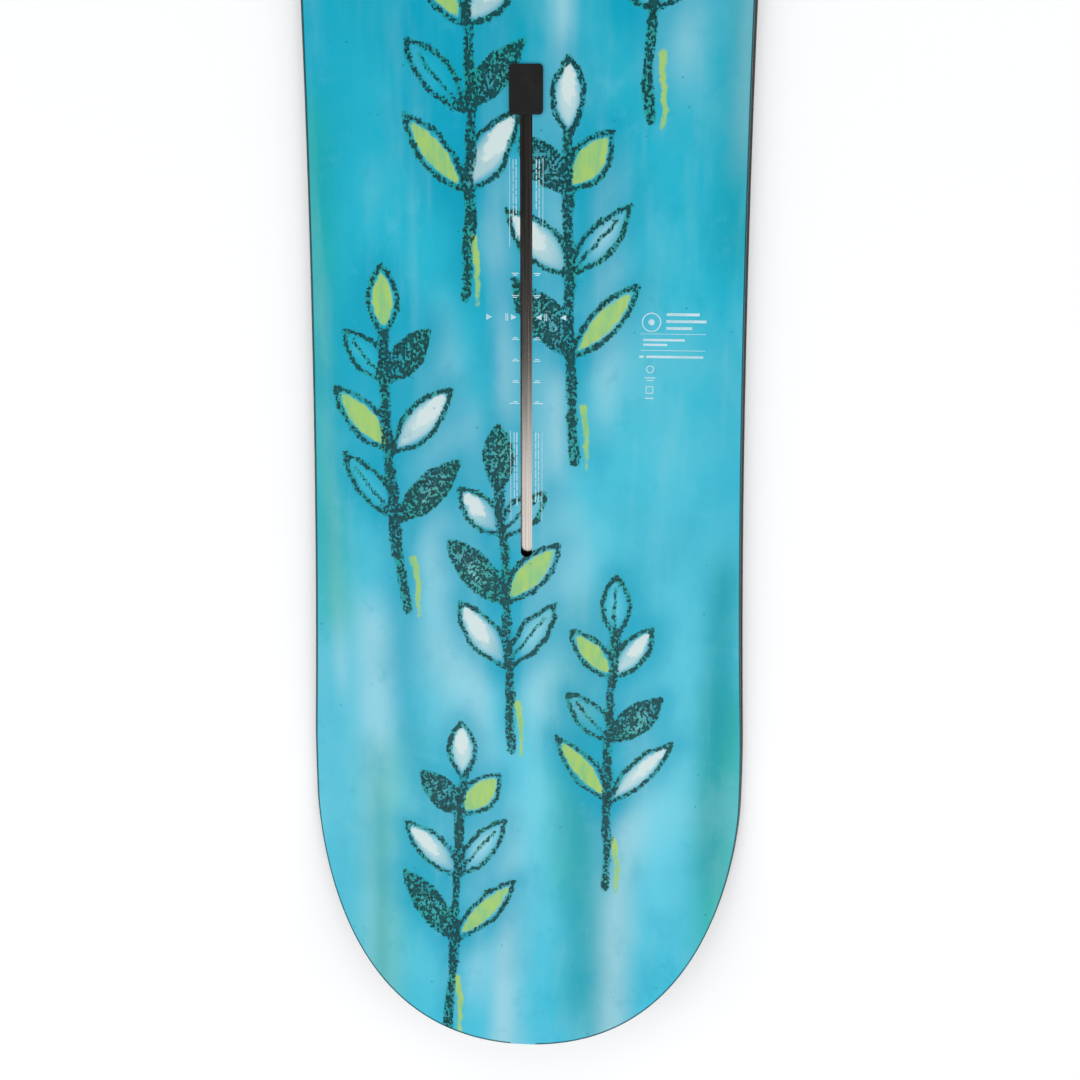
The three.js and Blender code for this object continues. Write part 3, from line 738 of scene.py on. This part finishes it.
class Sheet:
    # Fields over the topsheet's own points: depths in millimetres, and the wash's colour.
    def __init__(self, places):
        self.places = places
        self.ink, self.lime, self.white = (np.full(len(places), -9.0) for _ in range(3))
        self.rim = np.full(len(places), 9.0)
        self.wash = np.empty((len(places), 3))

    def stroke(self, line, halfWidth, press=0.8, times=1, field="ink", uneven=0.16):
        # How deep each place lies inside the stroke, and no deeper than its press, which is about
        # the share of the grain that takes the charcoal.
        depths = getattr(self, field)
        length = np.hypot(*np.diff(line, axis=0).T).sum()
        for _ in range(times):
            path = shaky(line, sprigs["shake"] * min(1, length / sprigs["steadyBelow"]))
            widths = np.broadcast_to(halfWidth, len(path)) * np.exp(hand.normal(0, uneven, len(path)))
            close = near(self.places, path.min(0), path.max(0), 8)
            distance, share = gaps(self.places[close], path)
            depth = (widths[:-1] + share * np.diff(widths) - distance).max(1, initial=-9)
            deepest = (press - 0.5) * sprigs["pressDepth"]
            depths[close] = np.maximum(depths[close], np.minimum(depth, deepest))

    def inside(self, loop, margin=40):
        # Distance to a closed line, positive inside: there, a level line meets it an odd number
        # of times to the right.
        close = near(self.places, loop.min(0), loop.max(0), margin)
        here = self.places[close]
        closed = np.concatenate([loop, loop[:1]])
        distance = gaps(here, closed)[0].min(1)
        start, end = closed[:-1], closed[1:]
        spans = (start[:, 1] > here[:, 1:]) != (end[:, 1] > here[:, 1:])
        climb = np.where(end[:, 1] == start[:, 1], 1, end[:, 1] - start[:, 1])
        slope = (end[:, 0] - start[:, 0]) / climb
        meets = start[:, 0] + (here[:, 1:] - start[:, 1]) * slope > here[:, :1]
        odd = (spans & meets).sum(1) % 2 == 1
        return close, np.where(odd, distance, -distance)

    def tint(self, close, share, paint):
        self.wash[close] += share[:, None] * (colour(*paint) - self.wash[close])

    def patch(self, field, loop, inset):
        # A patch of colour that keeps an inset's distance from its outline.
        depths = getattr(self, field)
        close, depth = self.inside(loop, 10)
        depths[close] = np.maximum(depths[close], depth - inset)

    def band(self, x, fromY, toY, halfWidth, share, paint, soft=45):
        # A soft upright band, as from a wide wet brush: a bell across, faded at both ends.
        bell = np.exp(-((self.places[:, 0] - x) / halfWidth) ** 2)
        ends = smooth(0, soft, self.places[:, 1] - toY) * smooth(0, soft, fromY - self.places[:, 1])
        self.tint(slice(None), share * bell * ends, paint)


def growSprigs():
    # Each sprig stands a pitch further along and a golden share further across than the last.
    # Its leaves grow in mirrored pairs up the stem, shorter towards the top, under one end leaf.
    grown = []
    for number in range(sprigs["count"]):
        across = (number * sprigs["turn"] + 0.2) % 1 * 2 - 1
        foot = np.array([sprigs["spread"] * across, sprigs["first"] + number * sprigs["pitch"]])
        height = hand.uniform(*sprigs["height"])
        top = foot + (hand.uniform(-1, 1) * sprigs["sway"], height)
        leaves = []
        for pair in range(sprigs["pairs"]):
            share = 0.34 + 0.5 * pair / (sprigs["pairs"] - 1)
            base = foot + (top - foot) * share
            length = sprigs["leafLength"] * (1.25 - 0.5 * share) * hand.uniform(0.9, 1.1)
            for side in (-1, 1):
                lean = math.radians(sprigs["leafLean"] + hand.uniform(-6, 6))
                tip = base + (side * length * math.sin(lean), length * math.cos(lean))
                leaves.append((base, tip, sprigs["leafBelly"] * hand.uniform(0.9, 1.2)))
        leaves.append((top, top + (0, sprigs["leafLength"] * 0.8), sprigs["leafBelly"]))
        grown.append({"foot": foot, "top": top, "leaves": leaves})
    return grown


washes = {
    "along": {760: (20, 168, 198), 500: (44, 190, 215), 60: (0, 164, 190), -270: (42, 188, 213),
              -600: (112, 212, 231), -760: (56, 192, 221)},
    "deep": (0, 164, 194),
    "teal": (0, 152, 164),
    "green": (40, 176, 154),
    "pale": (205, 226, 224),
    "mist": (170, 218, 230),
    "streaks": 54,
}


def layWashes(sheet, grown):
    # The ground colour along the board, darker at its sides, then wide soft streaks at random,
    # and a deep one under each stem with a misty one beside it.
    stops = sorted(washes["along"])
    colours = np.array([colour(*washes["along"][stop]) for stop in stops])
    y = sheet.places[:, 1]
    sheet.wash[:] = np.stack([np.interp(y, stops, column) for column in colours.T], 1)
    sides = smooth(84, 128, np.abs(sheet.places[:, 0]))
    sheet.tint(slice(None), 0.35 * sides, washes["deep"])
    for number in range(washes["streaks"]):
        paint = washes[("mist", "deep", "mist", "green", "teal")[number % 5]]
        place, start = hand.uniform(-130, 130), hand.uniform(-700, 760)
        sheet.band(place, start, start - hand.uniform(150, 400), hand.uniform(4, 18),
                   hand.uniform(0.3, 0.75), paint)
    for sprig in grown:
        x, foot = sprig["foot"]
        sheet.band(x, sprig["top"][1], foot - 20, 9, 0.7, washes["deep"])
        sheet.band(x + 18, sprig["top"][1] - 20, foot, 10, 0.45, washes["mist"])


def drawSprig(sheet, number, sprig):
    # Leaves take turns: hatched, lime, pale, and open with a midrib.
    sheet.stroke(bow(sprig["foot"], sprig["top"], hand.uniform(-4, 4)), sprigs["stemWidth"], 0.74, 2)
    for turn, (foot, tip, belly) in enumerate(sprig["leaves"]):
        loop = leafLoop(foot, tip, belly)
        close, depth = sheet.inside(loop)
        wet = np.exp(-(depth / np.where(depth > 0, 4, 13)) ** 2)
        sheet.tint(close, 0.7 * wet, washes["deep"])
        for bulge in (belly, -belly):
            sheet.stroke(bow(foot, tip, bulge), sprigs["outlineWidth"], 0.84)
        kind = (number + turn) % 4
        if kind == 0:
            for share in np.linspace(-0.75, 0.75, 6):
                sheet.stroke(bow(foot, tip, belly * share), 1.2, 0.72)
        elif kind == 1:
            sheet.patch("lime", loop, 2.2)
        elif kind == 2:
            sheet.tint(close, 0.8 * smooth(0.5, 5, depth), washes["pale"])
            sheet.patch("white", leafLoop(foot + (tip - foot) * 0.3, tip, belly * 0.7), 1.5)
        else:
            sheet.stroke(bow(foot, foot + (tip - foot) * 0.8, 1), 0.9, 0.7)
    drip = bow(sprig["foot"] + (5, 34), sprig["foot"] + (7, -4), 1)
    sheet.stroke(drip, np.linspace(2.4, 1.2, len(drip)), 2.4, 1, "lime", 0.05)


def measureRim(sheet):
    # How far each place near the sheet's edge is from it; a first guess picks the places.
    x, y = np.abs(sheet.places[:, 0]), sheet.places[:, 1]
    edge = along(plateLine, aboveCore(sheetBottom + board["topsheet"]))[:, :2]
    leans = np.abs(plateLine[2])
    reach = np.interp(-y, -edge[:, 1], edge[:, 0]) - x
    close = np.flatnonzero(reach * np.interp(-y, -edge[:, 1], leans) < 5)
    for part in np.array_split(close, 12):
        distance = gaps(np.stack([x[part], y[part]], 1), edge[::3])[0].min(1)
        sheet.rim[part] = distance


def printArt(piece):
    mesh = piece.data
    places = np.empty(len(mesh.vertices) * 3, np.float32)
    mesh.vertices.foreach_get("co", places)
    sheet = Sheet(places.reshape(-1, 3)[:, :2].astype(float) / mm)
    grown = growSprigs()
    layWashes(sheet, grown)
    for number, sprig in enumerate(grown):
        drawSprig(sheet, number, sprig)
    measureRim(sheet)
    for name in ("ink", "lime", "white", "rim"):
        field = mesh.attributes.new(name, "FLOAT", "POINT")
        field.data.foreach_set("value", getattr(sheet, name).astype(np.float32))
    paint = mesh.attributes.new("wash", "FLOAT_COLOR", "POINT")
    opaque = np.column_stack([sheet.wash, np.ones(len(sheet.places))])
    paint.data.foreach_set("color", opaque.astype(np.float32).ravel())


printArt(topsheet)
print("artwork printed")


# The layers that show along the side

def makeLayers():
    inside = board["edgeWidth"] + board["sideGap"]
    makePlate("baseSkin", coarsePlate,
              [(below(0), inside), (below(board["baseThickness"]), inside)],
              finishes["base"], ["base_sheet"])
    inside = board["foilReach"] + board["sideGap"]
    onFoil = foilTop + board["glue"]
    makePlate("lowerGlassSkin", coarsePlate,
              [(below(board["baseThickness"] + board["glue"]), inside), (below(onFoil), inside),
               (below(onFoil), None), (below(onFoil + board["lowerGlass"]), None)],
              finishes["glass"], ["lower_fibreglass"])
    flange = board["baseThickness"] + board["glue"]
    corner = 0.15                       # the steel's filed corner
    width, reach, height = board["edgeWidth"], board["flangeReach"], board["edgeHeight"]
    foilBottom = board["edgeHeight"] + board["glue"]
    gap = board["sideGap"] / 2
    besideCore = stretch(coarseLine, noseWidest - gap, tailWidest + gap)
    for side, name in ((1, "right"), (-1, "left")):
        makeStrip(name + "EdgeSteel", coarseLine,
                  [(below(flange), width), (below(flange), reach), (below(height), reach),
                   (below(height), 0), (below(corner), 0), (below(0), corner), (below(0), width)],
                  side, finishes["edge"], ["steel_edge_" + name])
        makeStrip(name + "EdgeFoil", coarseLine,
                  [(below(foilBottom), board["foilInset"]), (below(foilBottom), board["foilReach"]),
                   (below(foilTop), board["foilReach"]), (below(foilTop), board["foilInset"])],
                  side, finishes["foil"], ["edge_foil_" + name])
        makeStrip(name + "Sidewall", besideCore,
                  [(below(coreBottom), None), (below(coreBottom), board["sidewallReach"]),
                   (aboveCore(0), board["sidewallReach"]), (aboveCore(0), None)],
                  side, finishes["sidewall"], ["sidewall_" + name])
    ends = {"nose": (coarsePlate[1, 0], noseWidest + gap),
            "tail": (tailWidest - gap, coarsePlate[1, -1])}
    for name, (fromY, toY) in ends.items():
        makePlate(name + "TipSpacer", stretch(coarsePlate, fromY, toY),
                  [(below(coreBottom), None), (aboveCore(0), None)],
                  finishes["spacer"], [name + "_spacer"])


makeLayers()
print("layers ready")


# The small pieces of each channel

def onChannel(points, end, outwards=0.0):
    # From channel places, x across and y outboard of the reference mark, to the board's own.
    stance, outboard = channel["stances"][end]
    return points * (outboard, outboard, 1) + (0, stance + outboard * outwards, 0)


def roundedLoop(halfX, halfY, radius, perCorner=7, perSide=9):
    # Once round a rectangle with round corners: a quarter circle, then a straight side, four times.
    turn = np.linspace(0, math.pi / 2, perCorner)
    loops = []
    for corner in range(4):
        angle = turn + corner * math.pi / 2
        signs = np.sign(np.cos(angle[perCorner // 2])), np.sign(np.sin(angle[perCorner // 2]))
        middle = np.array([(halfX - radius) * signs[0], (halfY - radius) * signs[1]])
        loops.append(middle + radius * np.stack([np.cos(angle), np.sin(angle)], 1))
    sides = []
    for corner in range(4):
        start, end = loops[corner][-1], loops[(corner + 1) % 4][0]
        share = np.linspace(0, 1, perSide + 2)[1:-1, None]
        sides += [loops[corner], start + (end - start) * share]
    return np.concatenate(sides)


def wrapFaces(rows, size):
    # Quads over a grid that closes on itself both ways.
    first = np.arange(rows)[:, None] * size
    second = np.roll(first, -1, axis=0)
    here = np.arange(size)[None, :]
    after = (here + 1) % size
    return np.stack([first + here, first + after, second + after, second + here],
                    axis=-1).reshape(-1, 4)


def joined(shells):
    # Several closed shells as one set of points and faces.
    starts = np.cumsum([0] + [len(points) for points, faces in shells[:-1]])
    points = np.concatenate([points for points, faces in shells])
    faces = [face + start for (shell, parts), start in zip(shells, starts)
             for face in turnedOut(shell, parts)]
    return points, faces


def stackShell(loops):
    # Loops one above another, closed by a flat face at each end.
    rows, size = loops.shape[:2]
    return loops.reshape(-1, 3), [ringFaces(rows, size), *capFaces(rows, size, False)]


railTop = coreBottom + board["coreThickness"]
boardTop = railTop + sheetBottom + board["topsheet"]
lipHalf = channel["slotWidth"] / 2 - channel["lipShow"]
lipBottom = railTop - channel["lipThickness"]

nut = {
    "length": 11.4,
    "sideClearance": 0.3,
    "floorClearance": 0.1,
    "lipClearance": 0.3,
    "bossClearance": 0.2,
    "bossHeight": 1.9,
    "threadRoot": 2.5,
    "threadPitch": 1.0,
    "threadDepth": 0.26,
    "chamfer": 0.35,
    "corner": 0.9,
}
nutBottom = coreBottom + channel["railFloor"] + nut["floorClearance"]
nutTop = lipBottom - nut["lipClearance"]
bossRadius = lipHalf - nut["bossClearance"]

plug = {
    "sideOverhang": 1.85,
    "endOverhang": 1.3,
    "corner": 2.2,
    "thickness": 1.6,
    "seat": 0.1,
    "rounding": 0.5,
    "legClearance": 0.25,
    "tunnelClearance": 0.5,
    "dimple": (3.6, 5.6, 0.45),   # half across, half along, depth
}


def makeRail(end):
    # One section drawn from bottom to lip and back, straight along the rail; where the pocket is,
    # its lips are drawn back to the walls.
    half = channel["pocketWidth"] / 2
    wall, floor = half + channel["railWall"], coreBottom + channel["railFloor"]
    soft, turn = 0.3, np.linspace(0, math.pi / 2, 5)
    upper = np.stack([lipHalf + soft * (1 - np.sin(turn)), railTop - soft * (1 - np.cos(turn))], 1)
    lower = np.stack([lipHalf + soft * (1 - np.cos(turn)), lipBottom + soft * (1 - np.sin(turn))], 1)
    right = np.concatenate([[(wall, coreBottom), (wall, railTop)], upper, lower,
                            [(half, lipBottom), (half, floor)]])
    section = np.concatenate([right, (right * (-1, 1))[::-1]])
    drawn = np.abs(section[:, 0]) < half - 0.5
    reach = channel["plugCentre"] + channel["pocketLength"] / 2
    lipStart = channel["pocketLength"] / 2 - channel["plugCentre"]
    places = (-reach, lipStart - 0.02, lipStart + 0.02,
              channel["slotOutboard"] + channel["railEndMargin"])
    rows = np.empty((4, len(section), 3))
    rows[..., 0], rows[..., 2] = section[:, 0], section[:, 1]
    rows[..., 1] = np.array(places)[:, None]
    rows[:2, drawn, 0] = np.sign(section[drawn, 0]) * (half - 0.001)
    points, faces = stackShell(rows)
    makePiece(end + "Rail", onChannel(points, end), faces, finishes["rail"],
              "board", [end + "_channel_rail"])


def makeNut(end, which, place):
    # Square loops for the flange and round ones for the boss, each ring's points on the same
    # spokes, then down the bore along a helical thread and closed at the bottom.
    width = channel["pocketWidth"] / 2 - nut["sideClearance"]
    flange = roundedLoop(width, nut["length"] / 2, nut["corner"], 5, 9)
    spokes = np.arctan2(flange[:, 1], flange[:, 0])
    spoke = np.stack([np.cos(spokes), np.sin(spokes)], 1)
    chamfer, top = nut["chamfer"], nutTop + nut["bossHeight"]
    inner = roundedLoop(width - chamfer, nut["length"] / 2 - chamfer, nut["corner"] - chamfer, 5, 9)
    root = nut["threadRoot"]
    rings = [(inner, nutBottom), (flange, nutBottom + chamfer), (flange, nutTop - chamfer),
             (inner, nutTop), (spoke * bossRadius, nutTop),
             (spoke * bossRadius, top - 0.2), (spoke * (bossRadius - 0.2), top),
             (spoke * (root + 0.3), top)]
    heights = np.linspace(top - 0.25, nutBottom + 0.25, 46)
    phase = (heights[:, None] / nut["threadPitch"] - spokes / math.tau) % 1
    radius = root - nut["threadDepth"] * (1 - 2 * np.abs(phase - 0.5))
    bore = np.concatenate([radius[..., None] * spoke, np.broadcast_to(
        heights[:, None, None], (*phase.shape, 1))], axis=2)
    outside = np.stack([np.column_stack([loop, np.full(len(loop), z)]) for loop, z in rings])
    mouth = np.column_stack([spoke * (root + 0.3), np.full(len(spoke), nutBottom)])[None]
    grid = np.concatenate([outside, bore, mouth])
    points, faces = grid.reshape(-1, 3), [wrapFaces(*grid.shape[:2])]
    makePiece(end + "Nut" + which.capitalize(), onChannel(points, end, place), faces,
              finishes["nut"], f"{end}_nut_{which}", [f"{end}_channel_nut_{which}"])


def makePlug(end):
    # Rounded rectangles shrink over a soft edge to the middle of the cap, which is dished; the two
    # legs are slim stacks of loops that reach up into it.
    halfX = channel["pocketWidth"] / 2 + plug["sideOverhang"]
    halfY = channel["pocketLength"] / 2 + plug["endOverhang"]
    bottom, soft = boardTop + plug["seat"], plug["rounding"]
    top = bottom + plug["thickness"]
    turn = np.linspace(0, math.pi / 2, 6)
    flat = np.linspace(soft + 0.4, halfX - 0.6, 16)
    insets = np.concatenate([[1.2, 0.15, 0], soft * (1 - np.cos(turn)), flat])
    heights = np.concatenate([[bottom, bottom, bottom + 0.15], top - soft * (1 - np.sin(turn)),
                              np.full(len(flat), top)])
    loops = np.stack([np.column_stack([
        roundedLoop(halfX - inset, halfY - inset, max(plug["corner"] - inset, 0.3)),
        np.full(64, height)]) for inset, height in zip(insets, heights)])
    across, lengthways, depth = plug["dimple"]
    spread = (loops[..., 0] / across) ** 2 + (loops[..., 1] / lengthways) ** 2
    onTop = loops[..., 2] > top - 0.01
    loops[..., 2] -= np.where(onTop, depth * np.exp(-spread ** 2), 0)
    shells = [stackShell(loops)]
    outer = channel["pocketWidth"] / 2 - plug["legClearance"]
    inner = bossRadius + plug["tunnelClearance"]
    legHalf = channel["pocketLength"] / 2 - plug["legClearance"]
    legBottom = nutTop + plug["legClearance"]
    for side in (1, -1):
        leg = np.stack([np.column_stack([
            roundedLoop((outer - inner) / 2 - inset, legHalf - inset, 0.6), np.full(64, height)])
            for inset, height in ((0.4, legBottom), (0, legBottom + 0.5), (0, bottom + 0.3))])
        leg[..., 0] += side * (outer + inner) / 2
        shells.append(stackShell(leg))
    points, faces = joined(shells)
    makePiece(end + "Plug", onChannel(points, end, -channel["plugCentre"]), faces,
              finishes["plug"], end + "_plug", [end + "_channel_plug"])


def makeChannels():
    for end in channel["stances"]:
        makeRail(end)
        makePlug(end)
        for which in ("inner", "outer"):
            low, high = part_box(f"{end}_channel_nut_{which}")
            stance, outboard = channel["stances"][end]
            place = ((low.y + high.y) / 2 / mm - stance) * outboard
            makeNut(end, which, place)


makeChannels()
print("channels ready")


# White printed marks, thin closed prisms that stand just proud of the topsheet

marks = {
    "pitch": 12.7,             # between two stances
    "proud": 0.03,
    "sunk": 0.02,
    "line": 0.55,
    "seed": 3,
}


def bars(boxes):
    # Upright prisms from rows of low x, high x, low y and high y.
    boxes = np.asarray(boxes, float)
    corners = np.stack([boxes[:, [0, 2]], boxes[:, [1, 2]], boxes[:, [1, 3]], boxes[:, [0, 3]]], 1)
    return [extruded(corner) for corner in corners]


def extruded(loop):
    levels = np.array([boardTop - marks["sunk"], boardTop + marks["proud"]])
    stack = np.empty((2, len(loop), 3))
    stack[..., :2] = loop
    stack[..., 2] = levels[:, None]
    return stackShell(stack)


def arrow(x, y, size):
    # A triangle pointing along x, towards the slot from its own side.
    way = -math.copysign(size, x)
    back, front = x - way / 2, x + way / 2
    return extruded(np.array([(back, y - size / 2), (front, y), (back, y + size / 2)]))


def closedLine(loop, width):
    # A closed line of even width: the loop and the same loop drawn smaller about its middle.
    middle = loop.mean(0)
    away = loop - middle
    inner = middle + away * (1 - width / np.linalg.norm(away, axis=1))[:, None]
    section = [(loop, -marks["sunk"]), (inner, -marks["sunk"]), (inner, marks["proud"]),
               (loop, marks["proud"])]
    grid = np.stack([np.column_stack([line, np.full(len(line), boardTop + height)])
                     for line, height in section])
    return grid.reshape(-1, 3), [wrapFaces(*grid.shape[:2])]


def textBars(x, width, fromY, toY, random):
    # Plain dashes where small print would stand: one column of them along the slot.
    lengths = random.uniform(2.0, 7.0, 40)
    ends = np.cumsum(lengths + 0.9)
    ends = ends[fromY + ends < toY]
    return [(x, x + width, fromY + end - length, fromY + end) for end, length in zip(ends, lengths)]


def stanceMarks():
    # Ticks on both sides of the slot, arrows at the reference, and columns of plain dashes.
    random = np.random.default_rng(marks["seed"])
    half, line = channel["slotWidth"] / 2, marks["line"]
    boxes = []
    for side in (1, -1):
        for step in (-2, -1, 1, 2, 3, 4):
            place = step * marks["pitch"]
            reach = 6.3 if step == 4 else 4.9
            under = math.copysign(1.0, step)
            boxes.append((side * (half + 0.7), side * (half + reach), place, place + line))
            second = place - under
            boxes.append((side * (half + 1.7), side * (half + 4.1), second, second + line))
        boxes += [(side * x, side * (x + 0.5), -2.1, 2.1) for x in (10.6, 11.6)]
        for fromY, toY in ((-89, -40), (68, 124)):
            boxes.append((side * 9.3, side * 9.6, fromY, toY))
            for x, width in ((5.4, 0.55), (7.1, 0.45)):
                boxes += [(side * low, side * high, start, end) for low, high, start, end in
                          textBars(x, width, fromY, toY - random.uniform(0, 16), random)]
    boxes = [(min(a, b), max(a, b), c, d) for a, b, c, d in boxes]
    return bars(boxes) + [arrow(side * x, 0, 3.4) for side in (1, -1) for x in (7.2, 21.5)]


def infoMarks():
    # A ring round a dot, bars, fine rules, a smaller ring and a square, beside the slot.
    turn = np.linspace(0, math.tau, 49)[:-1]
    circle = np.stack([np.cos(turn), np.sin(turn)], 1)
    ring = closedLine(circle * 5.6 + (72.5, 2), 0.7)
    dot = extruded(circle * 1.8 + (72.5, 2))
    smallRing = closedLine(circle * 2.3 + (72.5, 29.5), 0.6)
    square = closedLine(np.array([(70.3, 39.6), (74.7, 39.6), (74.7, 44), (70.3, 44)]), 0.7)
    boxes = [(81, 100, -3.4, -1.8), (81, 104, 0.6, 2.2), (81, 96, 4.6, 6.2), (66.5, 104, 8.6, 8.9),
             (68, 92, 11.6, 12.9), (68, 82, 14.4, 15.7), (66.5, 104, 18.2, 18.5),
             (66, 68.5, 21.4, 22.8), (70, 103, 21.4, 22.8), (69.4, 75.6, 34.2, 34.9),
             (70.4, 74.6, 35.8, 36.4), (70, 75, 46.4, 47.1)]
    return bars(boxes) + [ring, dot, smallRing, square]


def printMarks():
    for end, shells in (("nose", stanceMarks()), ("tail", stanceMarks() + mirrored(infoMarks()))):
        points, faces = joined(shells)
        makePiece(end + "PrintedMarks", onChannel(points, end), faces, finishes["print"], "board")


def mirrored(shells):
    # Turns marks drawn on the right of the tail channel, whose places run the other way across.
    return [(points * (-1, 1, 1), faces) for points, faces in shells]


printMarks()
print("marks printed")


# What stays as it was cut: the core and the end blocks

def dressNodes():
    finishOf = {"poplar": finishes["poplar"], "beech": finishes["beech"],
                "end_block": finishes["block"]}
    for piece in frame["record"]["subparts"]:
        finish = finishOf.get(piece["material_slot"])
        if finish:
            nodes[piece["node"]].data.materials.clear()
            nodes[piece["node"]].data.materials.append(finish)


dressNodes()
